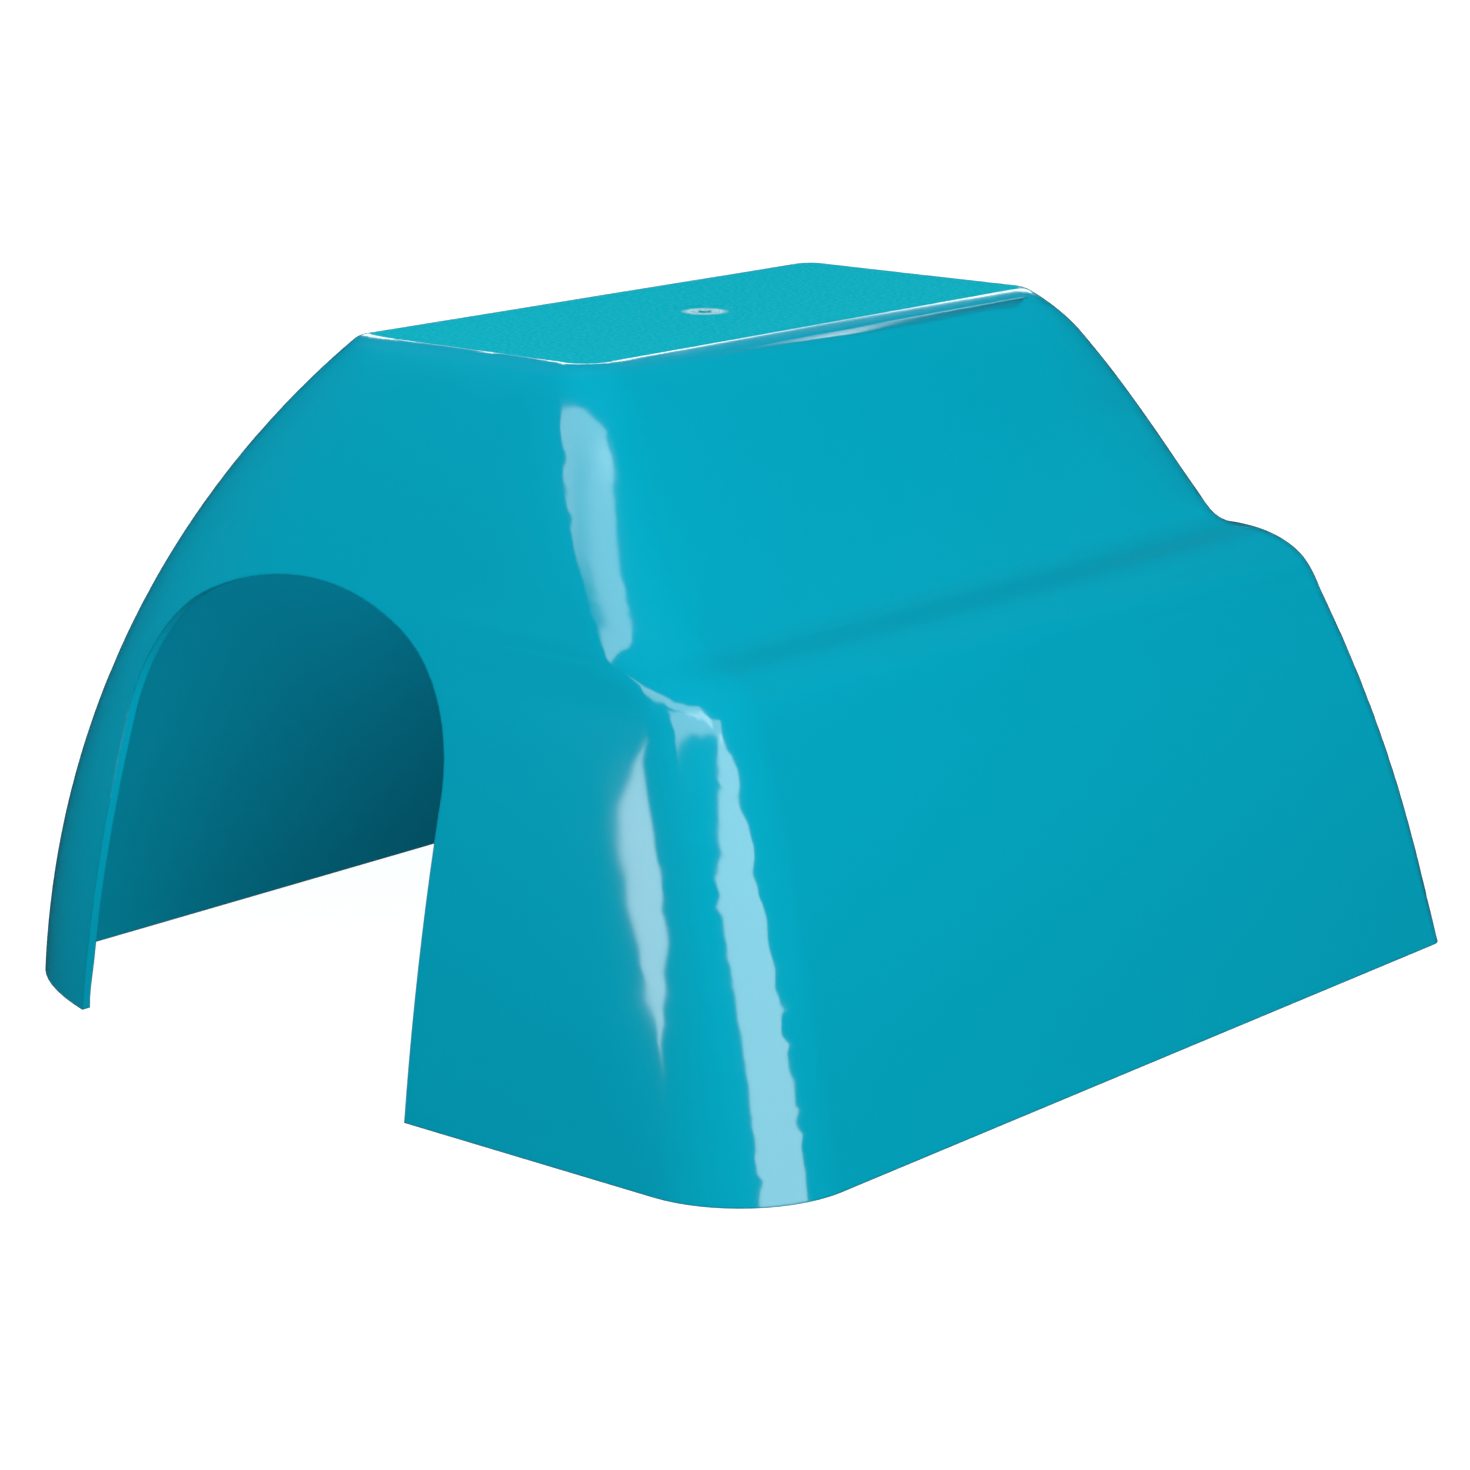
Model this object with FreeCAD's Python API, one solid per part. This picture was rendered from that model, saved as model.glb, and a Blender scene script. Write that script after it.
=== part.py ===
import FreeCAD, Part
import math
import os

from FreeCAD import Vector

# A small-animal house moulded in one piece: a flat roof panel, four leaning walls
# and an arched entrance. It is open below and stands on the edge of its walls.
# X is the width, Y the depth with the entrance towards -Y, Z is up from the floor.
# The origin is on the floor, under the middle of the roof panel.

# Driving dimensions in millimetres

width = 250.0
depth = 260.0
height = 156.0
wall = 2.4

# roof panel, before its edge is rounded
panel_width = 71.5
panel_depth = 161.0
panel_edge_radius = 6.0

# bow: how far a wall stands out from a straight line, seen from the side
left_bow = 17.5
front_bow = 6.0
right_lower_bow = 2.8
right_upper_bow = -1.6
back_lower_bow = 0.5
back_upper_bow = 3.2

# shoulder along the right wall and round onto the back wall
shoulder_height = 100.9
ledge_drop = 3.0
right_rim = 89.6
right_ledge = 12.7
back_rim = 117.0
back_ledge = 13.4

# brow: where these two walls turn in to the roof panel, measured from the panel's edge
brow_reach = 6.8
brow_drop = 6.0

# share of a straight piece that the rounding beside it takes up
bow_share = 0.6
rim_share = 0.68
valley_share = 0.28
brow_share = 0.7

# upright corners: how far each reaches along its side wall, at the floor and at the
# roof, and how many times as far it reaches along the front or back wall
front_left_corner = (42.0, 6.2, 2.4)
front_right_corner = (27.0, 11.0, 1.0)
back_right_corner = (6.0, 8.5, 1.0)
back_left_corner = (60.0, 6.5, 1.0)

# entrance in the front wall
arch_centre = -26.9
arch_half_width = 52.1
arch_top = 106.0
arch_left_flare = 5.2
arch_right_flare = 2.5
haunch_radius = 36.5
crown_radius = 72.0

# moulding mark in the middle of the roof panel
mark_radius = 9.3
mark_slope = 0.8
mark_depth = 0.35
mark_nub_radius = 1.4
mark_nub_height = 0.3

# turn of a wall between two heights that a skin is drawn through, least space
# between such heights, and a length past any wall
station_turn = 0.2
least_step = 0.1
far = 4.0 * max(width, depth, height)


def bowed_line(start, end, bow):
    """start, a point off the middle of the way and end, for a wall bowed to +X"""
    way = end - start
    outward = Vector(way.z, 0.0, -way.x).normalize()
    return [start, (start + end) * 0.5 + outward * 2.0 * bow, end]


def arc_radius(before, corner, after, share):
    """radius of an arc at a corner that takes up a share of its shorter side"""
    back = before - corner
    ahead = after - corner
    return share * min(back.Length, ahead.Length) * math.tan(back.getAngle(ahead) / 2.0)


def rounded_line(points, shares):
    """a line through the points, rounded at each inner point"""
    edges = []
    last = points[0]
    for before, corner, after, share in zip(points, points[1:], points[2:], shares):
        radius = arc_radius(before, corner, after, share)
        back = (before - corner).normalize()
        ahead = (after - corner).normalize()
        half_angle = back.getAngle(ahead) / 2.0
        tangent = radius / math.tan(half_angle)
        inside = (back + ahead).normalize() * (radius / math.sin(half_angle) - radius)
        arc_start = corner + back * tangent
        arc_end = corner + ahead * tangent
        edges.append(Part.makeLine(last, arc_start))
        edges.append(Part.Arc(arc_start, corner + inside, arc_end).toShape())
        last = arc_end
    edges.append(Part.makeLine(last, points[-1]))
    return Part.Wire(edges)


def plain_wall(foot_reach, top_reach, bow):
    """side view of a wall that bows from the floor to the roof"""
    foot = Vector(foot_reach, 0, 0)
    top = Vector(top_reach, 0, height)
    way = top - foot
    middle = (foot + top) * 0.5 + Vector(way.z, 0.0, -way.x).normalize() * bow
    return Part.Wire([Part.Arc(foot, middle, top).toShape()])


def shouldered_wall(foot_reach, top_reach, rim_reach, ledge, lower_bow, upper_bow):
    """side view of a wall with a shoulder part of the way up"""
    rim = Vector(rim_reach, 0, shoulder_height - ledge_drop)
    valley = Vector(rim_reach - ledge, 0, shoulder_height)
    lower = bowed_line(Vector(foot_reach, 0, 0), rim, lower_bow)
    top = Vector(top_reach, 0, height)
    upper = bowed_line(valley, top + Vector(brow_reach, 0, -brow_drop), upper_bow)
    shares = [bow_share, rim_share, valley_share, bow_share, brow_share]
    return rounded_line(lower + upper + [top], shares)


def reach_at(line, level):
    """how far out a wall's side view lies at one height"""
    cut = Part.makeLine(Vector(-far, 0, level), Vector(far, 0, level))
    return line.distToShape(cut)[1][0][0].x


def corner_points(lines, level, inset):
    """at one height, each upright corner's two tangent points round its sharp point"""
    left, right, front, back = [reach_at(line, level) for line in lines]
    corners = []
    for x, y, (at_floor, at_roof, stretch) in [
        (right, -front, front_right_corner),
        (right, back, back_right_corner),
        (-left, back, back_left_corner),
        (-left, -front, front_left_corner),
    ]:
        reach = at_floor + (at_roof - at_floor) * level / height
        on_side_wall = Vector(x, y - math.copysign(reach - inset, y), level)
        on_end_wall = Vector(x - math.copysign(reach * stretch - inset, x), y, level)
        sharp = Vector(x, y, level)
        if x * y > 0:
            corners.append([on_side_wall, sharp, on_end_wall])
        else:
            corners.append([on_end_wall, sharp, on_side_wall])
    return corners


def strip(rails, weights, seams):
    """faces that run up between rails, from each seam to the next"""
    count = len(rails)
    surface = Part.BSplineSurface()
    surface.buildFromPolesMultsKnots(
        [rail.getPoles() for rail in rails],
        [count, count],
        rails[0].getMultiplicities(),
        [0.0, 1.0],
        rails[0].getKnots(),
        False,
        False,
        count - 1,
        rails[0].Degree,
        [[weight] * rails[0].NbPoles for weight in weights],
    )
    faces = []
    for lower, upper in zip(seams, seams[1:]):
        piece = surface.copy()
        piece.segment(0.0, 1.0, lower, upper)
        faces.append(piece.toShape())
    return faces


def edges_at(shapes, level):
    """edges that lie flat at one height"""
    flat = []
    for shape in shapes:
        for edge in shape.Edges:
            box = edge.BoundBox
            if abs(box.ZMin - level) < 0.01 and abs(box.ZMax - level) < 0.01:
                flat.append(edge)
    return flat


def skin(lines, lowest, highest, inset):
    """solid inside one skin of the house: four walls, four rounded corners, two ends"""
    shouldered = lines[1]
    rim_start, rim_end, valley_end = [shouldered.OrderedVertexes[place].Z for place in (3, 4, 6)]
    levels = [lowest]
    for edge in shouldered.OrderedEdges:
        turn = edge.tangentAt(edge.FirstParameter).getAngle(edge.tangentAt(edge.LastParameter))
        points = edge.discretize(Number=3 + int(turn / station_turn))
        for level in sorted(point.z for point in points):
            if level - levels[-1] > least_step and highest - level > wall:
                levels.append(level)
    levels.append(highest)

    outlines = [corner_points(lines, level, inset) for level in levels]
    climb = [0.0]
    for lower, upper in zip(outlines, outlines[1:]):
        steps = [(end[1] - start[1]).Length for start, end in zip(lower, upper)]
        climb.append(climb[-1] + max(steps))
    rails = []
    for corner in range(4):
        for place in range(3):
            rail = Part.BSplineCurve()
            points = [outline[corner][place] for outline in outlines]
            rail.interpolate(Points=points, Parameters=climb)
            rails.append(rail)

    seams = [climb[0]]
    for seam in (rim_start, rim_end, valley_end):
        nearest = min(range(len(levels)), key=lambda index: abs(levels[index] - seam))
        seams.append(climb[nearest])
    seams.append(climb[-1])
    faces = []
    for corner in range(4):
        start, sharp, end, following = [rails[(3 * corner + step) % 12] for step in range(4)]
        faces += strip([start, sharp, end], [1.0, math.sqrt(0.5), 1.0], seams)
        faces += strip([end, following], [1.0, 1.0], seams)
    for level in (lowest, highest):
        outline = Part.Wire(Part.__sortEdges__(edges_at(faces, level)))
        faces.append(Part.Face(outline))
    closed = Part.makeShell(faces)
    closed.sewShape()
    return Part.Solid(closed)


def shell():
    """the walls and roof, hollow and open below"""
    lines = [
        plain_wall(width / 2, panel_width / 2, left_bow),
        shouldered_wall(
            width / 2, panel_width / 2, right_rim, right_ledge, right_lower_bow, right_upper_bow
        ),
        plain_wall(depth / 2, panel_depth / 2, front_bow),
        shouldered_wall(
            depth / 2, panel_depth / 2, back_rim, back_ledge, back_lower_bow, back_upper_bow
        ),
    ]
    inner_lines = [line.makeOffset2D(wall, openResult=True) for line in lines]
    outer = skin(lines, 0.0, height, 0.0)
    outer = outer.makeFillet(panel_edge_radius, edges_at([outer], height))
    cavity = skin(inner_lines, -wall, height - wall, wall)
    return outer.cut(cavity)


def entrance():
    """what the entrance takes out of the front wall: an arch of three arcs on two legs"""
    across = arch_half_width - haunch_radius
    rise = math.sqrt((crown_radius - haunch_radius) ** 2 - across ** 2)
    spring = arch_top - crown_radius + rise
    turn = math.atan2(rise, across)
    sides = []
    for side, flare in [(-1.0, arch_left_flare), (1.0, arch_right_flare)]:
        points = [Vector(arch_centre + side * (arch_half_width + flare), 0, -wall)]
        for angle in (0.0, turn / 2.0, turn):
            out = across + haunch_radius * math.cos(angle)
            level = spring + haunch_radius * math.sin(angle)
            points.append(Vector(arch_centre + side * out, 0, level))
        sides.append(points)
    left, right = sides
    crown = Vector(arch_centre, 0, arch_top)
    outline = Part.Wire([
        Part.makeLine(left[0], left[1]),
        Part.Arc(left[1], left[2], left[3]).toShape(),
        Part.Arc(left[3], crown, right[3]).toShape(),
        Part.Arc(right[3], right[2], right[1]).toShape(),
        Part.makeLine(right[1], right[0]),
        Part.makeLine(right[0], left[0]),
    ])
    return Part.Face(outline).extrude(Vector(0, -depth, 0))


def roof_mark():
    """shallow round dish with a nub left standing in its middle"""
    floor = Vector(0, 0, height - mark_depth)
    dish = Part.makeCone(mark_radius - mark_slope, mark_radius, mark_depth, floor)
    nub = Part.makeCylinder(mark_nub_radius, mark_nub_height, floor)
    return dish.cut(nub)


house = shell().cut(entrance()).cut(roof_mark())
os.makedirs("parts", exist_ok=True)
house.exportStep("parts/house_shell.step")
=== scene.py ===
import math

import bpy
from mathutils import Matrix, Vector


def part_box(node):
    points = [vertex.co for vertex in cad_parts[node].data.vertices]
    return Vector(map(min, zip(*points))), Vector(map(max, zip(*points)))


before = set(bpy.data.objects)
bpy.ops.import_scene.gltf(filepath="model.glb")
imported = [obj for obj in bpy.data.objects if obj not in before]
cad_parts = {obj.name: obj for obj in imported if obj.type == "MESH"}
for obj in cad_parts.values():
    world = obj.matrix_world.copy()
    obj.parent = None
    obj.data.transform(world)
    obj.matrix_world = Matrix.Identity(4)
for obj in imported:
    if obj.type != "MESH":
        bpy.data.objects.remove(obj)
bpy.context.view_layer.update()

scene = bpy.context.scene
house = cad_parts["house_shell"]
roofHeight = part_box("house_shell")[1].z


def directionTo(azimuth, elevation):
    a = math.radians(azimuth)
    e = math.radians(elevation)
    return Vector((math.sin(a) * math.cos(e), -math.cos(a) * math.cos(e), math.sin(e)))


def facing(place, target, roll=0.0):
    turn = (place - target).to_track_quat("Z", "Y").to_matrix().to_4x4()
    return Matrix.Translation(place) @ turn @ Matrix.Rotation(roll, 4, "Z")


def addNode(tree, kind, settings=None, values=None):
    node = tree.nodes.new(kind)
    for name, value in (settings or {}).items():
        setattr(node, name, value)
    for name, value in (values or {}).items():
        node.inputs[name].default_value = value
    return node


def inUse(sockets, name):
    return [socket for socket in sockets if socket.enabled and socket.name == name][0]


# camera: solved from the outline of the house in the photograph
photo = {
    "width": 1470,
    "focal": 4285,
    "azimuth": 40.39,
    "elevation": 14.02,
    "distance": 0.9474,
    "target": Vector((0.0429, -0.0398, 0.070)),
    "sensor": 36.0,
    "clipStart": 0.05,
}

cameraData = bpy.data.cameras.new("photo_camera")
cameraData.sensor_width = photo["sensor"]
cameraData.lens = photo["sensor"] * photo["focal"] / photo["width"]
cameraData.clip_start = photo["clipStart"]
camera = bpy.data.objects.new("photo_camera", cameraData)
scene.collection.objects.link(camera)
towardsCamera = directionTo(photo["azimuth"], photo["elevation"])
cameraPlace = photo["target"] + towardsCamera * photo["distance"]
camera.matrix_world = facing(cameraPlace, photo["target"])
scene.camera = camera
print("camera placed")


# Soft boxes as seen from the front right corner of the house, angles in degrees: azimuth,
# elevation, size across and up, roll, radiance. The mirrored ones show in the plastic, and
# were placed by the highlights in the photograph. The others only brighten it.
lit = {
    "corner": Vector((0.10, -0.10, 0.06)),
    "distance": 1.6,
    "mirrored": {
        "top": (7.3, 58.8, (0.25, 2.09), -68.9, 4.2),
        "ledge": (36.7, 53.8, (0.33, 1.73), -76.0, 4.2),
        "side": (72.0, 19.2, (1.12, 1.53), 25.5, 6.3),
        "front": (-25.3, 12.2, (0.44, 0.31), -30.2, 7.2),
        "rear": (-140, 20, (0.9, 0.28), 0, 4.6),
    },
    "brightening": {
        "fill": (-20, 35, (1.6, 1.6), 0, 0.62),
        "left": (-88, 22, (1.6, 1.6), 0, 2.0),
        "back": (195, 22, (1.6, 1.6), 0, 1.3),
        "overhead": (20, 88, (1.5, 1.5), 0, 0.8),
    },
    "whiteTint": (1.0, 1.0, 1.0),
    "coolTint": (0.72, 0.90, 1.0),
}

# The thin plastic lets light through, so the rooms inside are lifted a little.
inside = {
    "place": Vector((0.040, -0.010, 0.092)),
    "target": Vector((-0.10, -0.05, 0.115)),
    "size": (0.10, 0.04),
    "radiance": 15.0,
    "tint": (0.55, 0.9, 1.0),
}


def addAreaLight(name, pose, size, radiance, tint, mirrored):
    data = bpy.data.lights.new(name, "AREA")
    data.shape = "RECTANGLE"
    data.size, data.size_y = size
    data.energy = math.pi * size[0] * size[1] * radiance
    data.color = tint
    light = bpy.data.objects.new(name, data)
    scene.collection.objects.link(light)
    light.matrix_world = pose
    light.visible_glossy = mirrored
    light.visible_camera = False


for kind, tint in (("mirrored", lit["whiteTint"]), ("brightening", lit["coolTint"])):
    for name, (azimuth, elevation, size, roll, radiance) in lit[kind].items():
        boxPlace = lit["corner"] + directionTo(azimuth, elevation) * lit["distance"]
        pose = facing(boxPlace, lit["corner"], math.radians(roll))
        addAreaLight(f"{name}_softbox", pose, size, radiance, tint, kind == "mirrored")
addAreaLight("inside_glow", facing(inside["place"], inside["target"]), inside["size"],
             inside["radiance"], inside["tint"], False)

# a white backdrop for the camera, nearly dark in reflections, and a cool light all round
surround = {
    "backdrop": (1.0, 1.0, 1.0, 1),
    "reflected": (0.012, 0.012, 0.012, 1),
    "ambient": (0.80, 0.93, 1.0, 1),
    "ambientStrength": 0.50,
}
world = bpy.data.worlds.new("studio")
scene.world = world
world.use_nodes = True
sky = world.node_tree
sky.nodes.clear()
seen = addNode(sky, "ShaderNodeLightPath")
backdrop = addNode(sky, "ShaderNodeBackground", values={"Color": surround["backdrop"]})
reflected = addNode(sky, "ShaderNodeBackground", values={"Color": surround["reflected"]})
ambient = addNode(sky, "ShaderNodeBackground",
                  values={"Color": surround["ambient"], "Strength": surround["ambientStrength"]})
glossyMix = addNode(sky, "ShaderNodeMixShader")
cameraMix = addNode(sky, "ShaderNodeMixShader")
skyOut = addNode(sky, "ShaderNodeOutputWorld")
sky.links.new(seen.outputs["Is Glossy Ray"], glossyMix.inputs["Fac"])
sky.links.new(ambient.outputs[0], glossyMix.inputs[1])
sky.links.new(reflected.outputs[0], glossyMix.inputs[2])
sky.links.new(seen.outputs["Is Camera Ray"], cameraMix.inputs["Fac"])
sky.links.new(glossyMix.outputs[0], cameraMix.inputs[1])
sky.links.new(backdrop.outputs[0], cameraMix.inputs[2])
sky.links.new(cameraMix.outputs[0], skyOut.inputs["Surface"])
scene.view_settings.view_transform = "Standard"
print("lights placed")


# floor: glows white for the camera and only a little for the house
ground = {
    "half": 6.0,
    "colour": (0.16, 0.16, 0.16, 1),
    "glow": (1.0, 1.0, 1.0, 1),
    "glowOnHouse": 0.10,
    "glowForCamera": 0.95,
}
half = ground["half"]
floorMesh = bpy.data.meshes.new("floor")
floorMesh.from_pydata([(-half, -half, 0), (half, -half, 0), (half, half, 0), (-half, half, 0)],
                      [], [(0, 1, 2, 3)])
floor = bpy.data.objects.new("floor", floorMesh)
scene.collection.objects.link(floor)
floor.visible_glossy = False
floorPaint = bpy.data.materials.new("studio_floor")
floorPaint.use_nodes = True
paint = floorPaint.node_tree
floorShader = paint.nodes["Principled BSDF"]
floorShader.inputs["Base Color"].default_value = ground["colour"]
floorShader.inputs["Emission Color"].default_value = ground["glow"]
floorShader.inputs["Roughness"].default_value = 1.0
floorShader.inputs["Specular IOR Level"].default_value = 0.0
floorSeen = addNode(paint, "ShaderNodeLightPath")
floorGlow = addNode(paint, "ShaderNodeMapRange",
                    values={"To Min": ground["glowOnHouse"], "To Max": ground["glowForCamera"]})
paint.links.new(floorSeen.outputs["Is Camera Ray"], floorGlow.inputs["Value"])
paint.links.new(floorGlow.outputs[0], floorShader.inputs["Emission Strength"])
floorMesh.materials.append(floorPaint)
print("floor laid")


# Moulded plastic: glossy walls, a matte mottled roof panel with a moulding mark in its
# middle. Bands run from the depth below the roof where a look starts to where it is full,
# the mark's from one radius to the other.
plastic = {
    "colour": (0.0, 0.22, 0.30, 1),
    "wallRoughness": 0.09,
    "wallSpecular": 0.5,
    # roof colour: partly painted light, a touch lighter for light falling on the top, partly the
    # matte texture
    "roofColourPaintedLit": (0.0, 0.24, 0.285, 1),
    "roofSpeckle": (0.014, 0.275, 0.32, 1),
    "roofRoughness": 0.6,
    "roofSpecular": 0.0,
    "roofBand": (0.00004, 0.00001),
    "speck": {"Scale": 1000, "Detail": 4, "Roughness": 0.7},
    "speckRange": (0.42, 0.66),
    "grain": {"Scale": 900, "Detail": 3},
    "grainHeight": 0.00005,
    "roundingBand": (0.003, 0.001),
    "roundingRoughness": 0.19,
    "dishRadius": 0.0096,
    "dishDepth": 0.001,
    "markBand": (0.0056, 0.00336),
    "markRoughness": 0.24,
    "markSpecular": 0.3,
    "edgeRadius": 0.0007,
    "edgeSamples": 4,
    "edgeCosines": (0.985, 0.94),
}

material = bpy.data.materials.new("turquoise_plastic")
material.use_nodes = True
coat = material.node_tree
wire = coat.links.new
shader = coat.nodes["Principled BSDF"]


def mapRange(source, fromRange, toRange=(0, 1), interpolation="LINEAR"):
    node = addNode(coat, "ShaderNodeMapRange", {"interpolation_type": interpolation},
                   {"From Min": fromRange[0], "From Max": fromRange[1],
                    "To Min": toRange[0], "To Max": toRange[1]})
    wire(source, node.inputs["Value"])
    return node.outputs[0]


def combine(operation, first, second):
    node = addNode(coat, "ShaderNodeMath", {"operation": operation})
    for socket, source in zip(node.inputs, (first, second)):
        if isinstance(source, (int, float)):
            socket.default_value = source
        else:
            wire(source, socket)
    return node.outputs[0]


def towards(factor, start, value):
    node = addNode(coat, "ShaderNodeMix", values={"B": value})
    wire(factor, node.inputs["Factor"])
    wire(start, node.inputs["A"])
    return node.outputs[0]


def noise(values):
    node = addNode(coat, "ShaderNodeTexNoise", values=values)
    wire(place.outputs["Object"], node.inputs["Vector"])
    return node.outputs["Fac"]


def belowRoof(band, values=(0, 1)):
    levels = [roofHeight - depth for depth in band]
    return mapRange(spot.outputs["Z"], levels, values, "SMOOTHSTEP")


place = addNode(coat, "ShaderNodeTexCoord")
spot = addNode(coat, "ShaderNodeSeparateXYZ")
wire(place.outputs["Object"], spot.inputs[0])
flat = addNode(coat, "ShaderNodeCombineXYZ")
wire(spot.outputs["X"], flat.inputs["X"])
wire(spot.outputs["Y"], flat.inputs["Y"])
fromMiddle = addNode(coat, "ShaderNodeVectorMath", {"operation": "LENGTH"})
wire(flat.outputs[0], fromMiddle.inputs[0])

# where the roof panel is: its flat top, and the dish in its middle
nearTop = combine("GREATER_THAN", spot.outputs["Z"], roofHeight - plastic["dishDepth"])
inDish = combine("LESS_THAN", fromMiddle.outputs["Value"], plastic["dishRadius"])
dish = combine("MULTIPLY", inDish, nearTop)
roof = combine("MAXIMUM", belowRoof(plastic["roofBand"]), dish)

# the moulding mark is half polished round its nub
nearNub = mapRange(fromMiddle.outputs["Value"], plastic["markBand"])
mark = combine("MULTIPLY", nearNub, nearTop)

# colour: turquoise on the walls; the roof panel finely mottled in its own colour, which is
# partly painted light (the top a touch lighter and greener, as lit from above) and partly its
# matte texture
mottle = addNode(coat, "ShaderNodeMix", {"data_type": "RGBA"},
                 {6: plastic["roofColourPaintedLit"], 7: plastic["roofSpeckle"]})
wire(mapRange(noise(plastic["speck"]), plastic["speckRange"]), mottle.inputs[0])
colour = addNode(coat, "ShaderNodeMix", {"data_type": "RGBA"}, {6: plastic["colour"]})
wire(roof, colour.inputs[0])
wire(mottle.outputs[2], colour.inputs[7])
wire(colour.outputs[2], shader.inputs["Base Color"])

# gloss: the rounding of the roof panel's edge is duller than the walls
rounding = belowRoof(plastic["roundingBand"],
                     (plastic["wallRoughness"], plastic["roundingRoughness"]))
rough = towards(roof, rounding, plastic["roofRoughness"])
wire(towards(mark, rough, plastic["markRoughness"]), shader.inputs["Roughness"])
glint = mapRange(roof, (0, 1), (plastic["wallSpecular"], plastic["roofSpecular"]))
wire(towards(mark, glint, plastic["markSpecular"]), shader.inputs["Specular IOR Level"])

# relief: fine grain on the roof, and a rounded look at sharp edges only, so that the
# mirrored boxes stay clean on the walls
bevel = addNode(coat, "ShaderNodeBevel", {"samples": plastic["edgeSamples"]},
                {"Radius": plastic["edgeRadius"]})
own = addNode(coat, "ShaderNodeNewGeometry")
apart = addNode(coat, "ShaderNodeVectorMath", {"operation": "DOT_PRODUCT"})
wire(own.outputs["Normal"], apart.inputs[0])
wire(bevel.outputs[0], apart.inputs[1])
edgeNormal = addNode(coat, "ShaderNodeMix", {"data_type": "VECTOR"})
wire(mapRange(apart.outputs["Value"], plastic["edgeCosines"]), edgeNormal.inputs[0])
wire(own.outputs["Normal"], edgeNormal.inputs[4])
wire(bevel.outputs[0], edgeNormal.inputs[5])
grainBump = addNode(coat, "ShaderNodeBump", values={"Distance": plastic["grainHeight"]})
wire(noise(plastic["grain"]), grainBump.inputs["Height"])
wire(roof, grainBump.inputs["Strength"])
wire(edgeNormal.outputs[1], grainBump.inputs["Normal"])
wire(grainBump.outputs[0], shader.inputs["Normal"])

house.data.materials.clear()
house.data.materials.append(material)
print("plastic made")


# The mesh is a little uneven in its shading, and a mirrored edge shows that. Large faces
# keep their own normal, the small ones on a corner are evened out, every crease stays,
# and the flat roof stays flat up to its rounding. Areas in square metres.
smoothing = {
    "passes": 6,
    "creaseAngle": math.radians(25),
    "smallFace": 40e-6,
    "largeFace": 100e-6,
    "weldDistance": 1e-6,
    "roofTolerance": 1e-5,
}
evenTree = bpy.data.node_groups.new("even_normals", "GeometryNodeTree")
evenTree.is_modifier = True
evenTree.interface.new_socket("Geometry", in_out="INPUT", socket_type="NodeSocketGeometry")
evenTree.interface.new_socket("Geometry", in_out="OUTPUT", socket_type="NodeSocketGeometry")
join = evenTree.links.new


def onFaces(source, kind):
    node = addNode(evenTree, "GeometryNodeFieldOnDomain", {"domain": "FACE", "data_type": kind})
    join(source, inUse(node.inputs, "Value"))
    return inUse(node.outputs, "Value")


def above(source, limit):
    node = addNode(evenTree, "FunctionNodeCompare",
                   {"data_type": "FLOAT", "operation": "GREATER_THAN"}, {"B": limit})
    join(source, node.inputs["A"])
    return node.outputs[0]


def switch(kind, condition, otherwise, value):
    node = addNode(evenTree, "GeometryNodeSwitch", {"input_type": kind}, {"True": value})
    join(condition, node.inputs["Switch"])
    join(otherwise, node.inputs["False"])
    return node.outputs[0]


def capture(geometry, **fields):
    node = addNode(evenTree, "GeometryNodeCaptureAttribute", {"domain": "POINT"})
    join(geometry, node.inputs["Geometry"])
    for name, (kind, source) in fields.items():
        node.capture_items.new(kind, name)
        join(source, node.inputs[name])
    return node


meshIn = addNode(evenTree, "NodeGroupInput")
meshOut = addNode(evenTree, "NodeGroupOutput")
weld = addNode(evenTree, "GeometryNodeMergeByDistance",
               values={"Distance": smoothing["weldDistance"]})
join(meshIn.outputs[0], weld.inputs["Geometry"])
turn = addNode(evenTree, "GeometryNodeInputMeshEdgeAngle")
split = addNode(evenTree, "GeometryNodeSplitEdges")
join(weld.outputs[0], split.inputs["Mesh"])
join(above(turn.outputs["Unsigned Angle"], smoothing["creaseAngle"]), split.inputs["Selection"])

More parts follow.
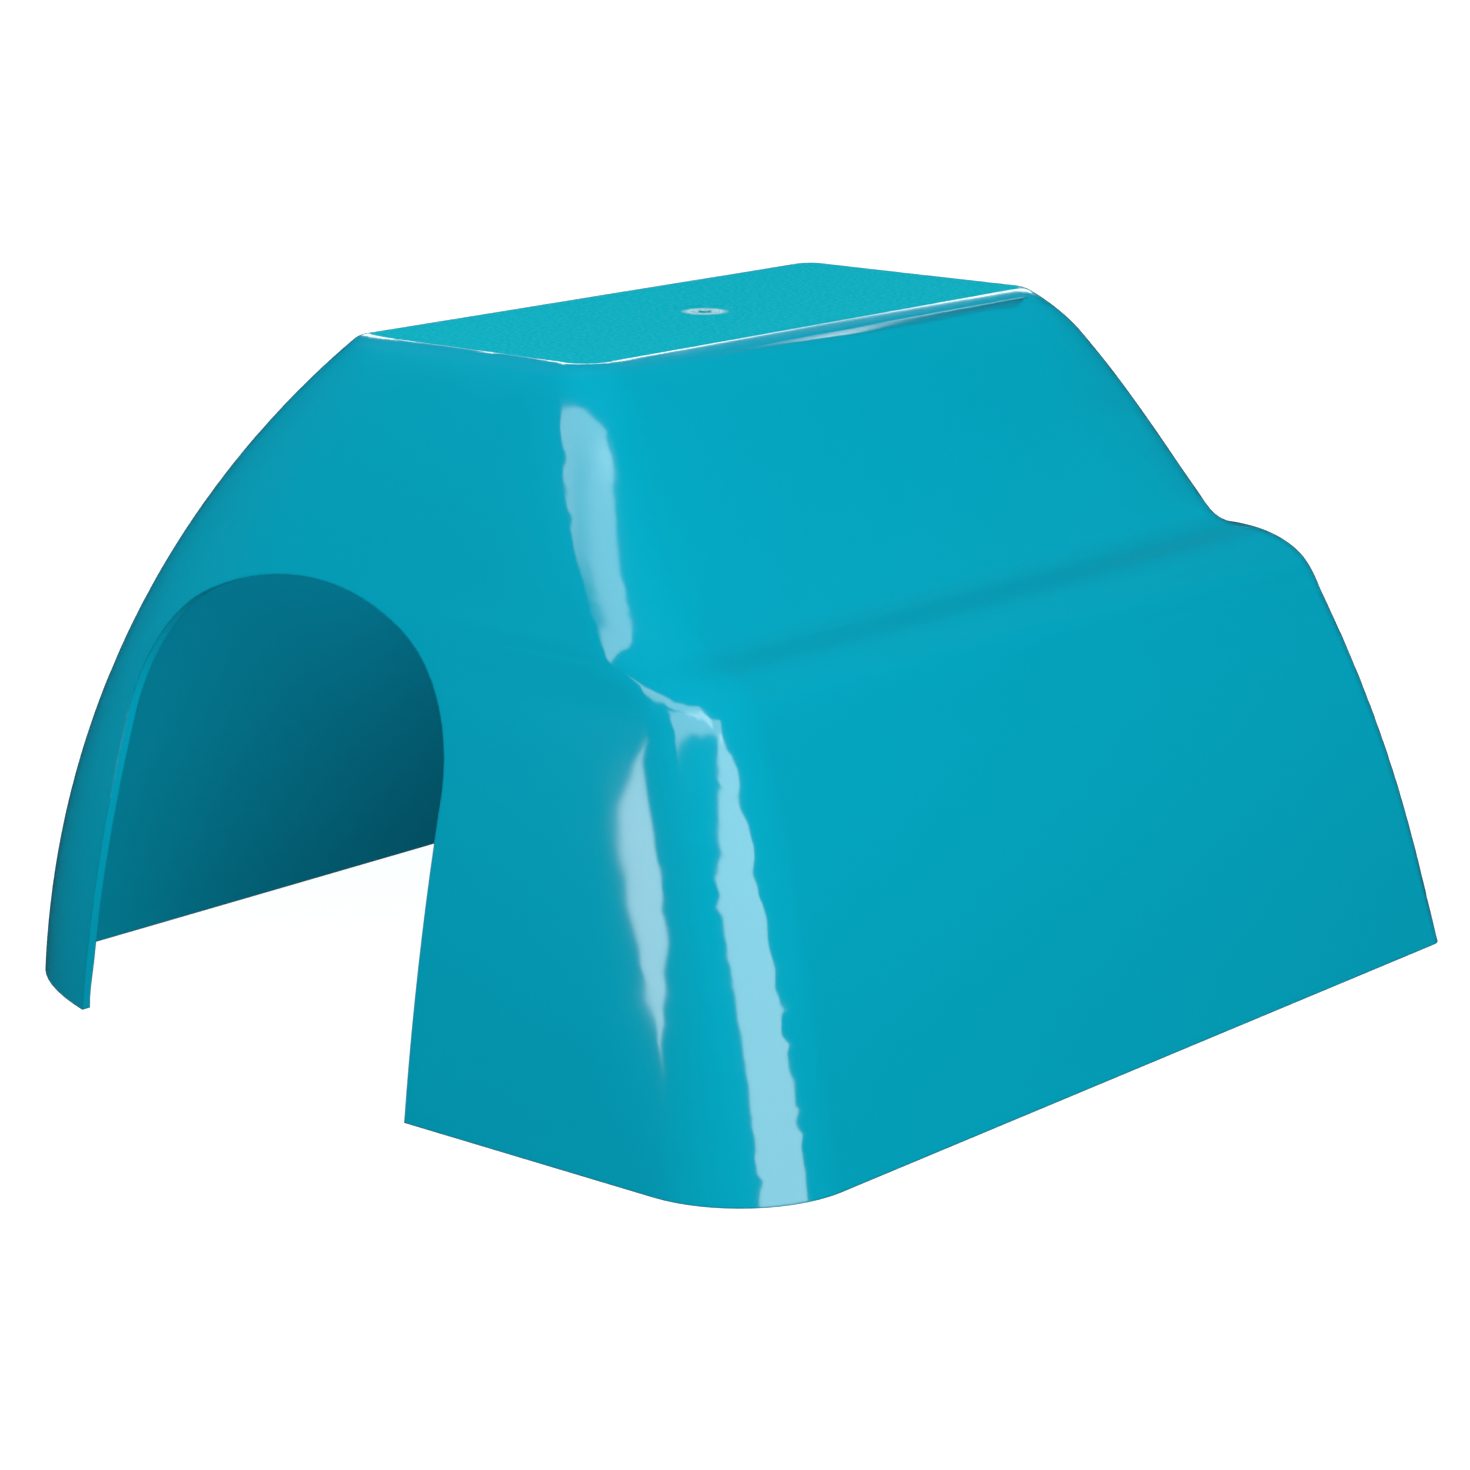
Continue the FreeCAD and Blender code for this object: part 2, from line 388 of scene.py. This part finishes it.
# each point starts from the mean of its faces' normals, by area
normal = addNode(evenTree, "GeometryNodeInputNormal")
area = addNode(evenTree, "GeometryNodeInputMeshFaceArea")
weighed = addNode(evenTree, "ShaderNodeVectorMath", {"operation": "SCALE"})
join(normal.outputs[0], weighed.inputs[0])
join(area.outputs[0], weighed.inputs["Scale"])
unit = addNode(evenTree, "ShaderNodeVectorMath", {"operation": "NORMALIZE"})
join(onFaces(weighed.outputs[0], "FLOAT_VECTOR"), unit.inputs[0])
share = addNode(evenTree, "ShaderNodeMapRange",
                values={"From Min": smoothing["largeFace"], "From Max": smoothing["smallFace"]})
join(onFaces(area.outputs[0], "FLOAT"), share.inputs["Value"])
level = addNode(evenTree, "ShaderNodeSeparateXYZ")
join(addNode(evenTree, "GeometryNodeInputPosition").outputs[0], level.inputs[0])
onRoof = above(level.outputs["Z"], roofHeight - smoothing["roofTolerance"])
start = capture(split.outputs[0],
                normal=("VECTOR", switch("VECTOR", onRoof, unit.outputs[0], (0, 0, 1))),
                share=("FLOAT", switch("FLOAT", onRoof, share.outputs[0], 0)))

blur = addNode(evenTree, "GeometryNodeBlurAttribute", {"data_type": "FLOAT_VECTOR"},
               {"Iterations": smoothing["passes"]})
join(start.outputs["normal"], inUse(blur.inputs, "Value"))
join(start.outputs["share"], blur.inputs["Weight"])
even = capture(start.outputs["Geometry"], normal=("VECTOR", inUse(blur.outputs, "Value")))

# the mesh stays as it is, its corners only take the evened normals
take = addNode(evenTree, "GeometryNodeSampleIndex",
               {"data_type": "FLOAT_VECTOR", "domain": "CORNER"})
join(even.outputs["Geometry"], take.inputs["Geometry"])
join(even.outputs["normal"], inUse(take.inputs, "Value"))
join(addNode(evenTree, "GeometryNodeInputIndex").outputs[0], take.inputs["Index"])
shade = addNode(evenTree, "GeometryNodeSetMeshNormal", {"mode": "FREE", "domain": "CORNER"})
join(meshIn.outputs[0], shade.inputs["Mesh"])
join(inUse(take.outputs, "Value"), shade.inputs["Custom Normal"])
join(shade.outputs[0], meshOut.inputs[0])
house.modifiers.new("even_normals", "NODES").node_group = evenTree
print("normals evened")
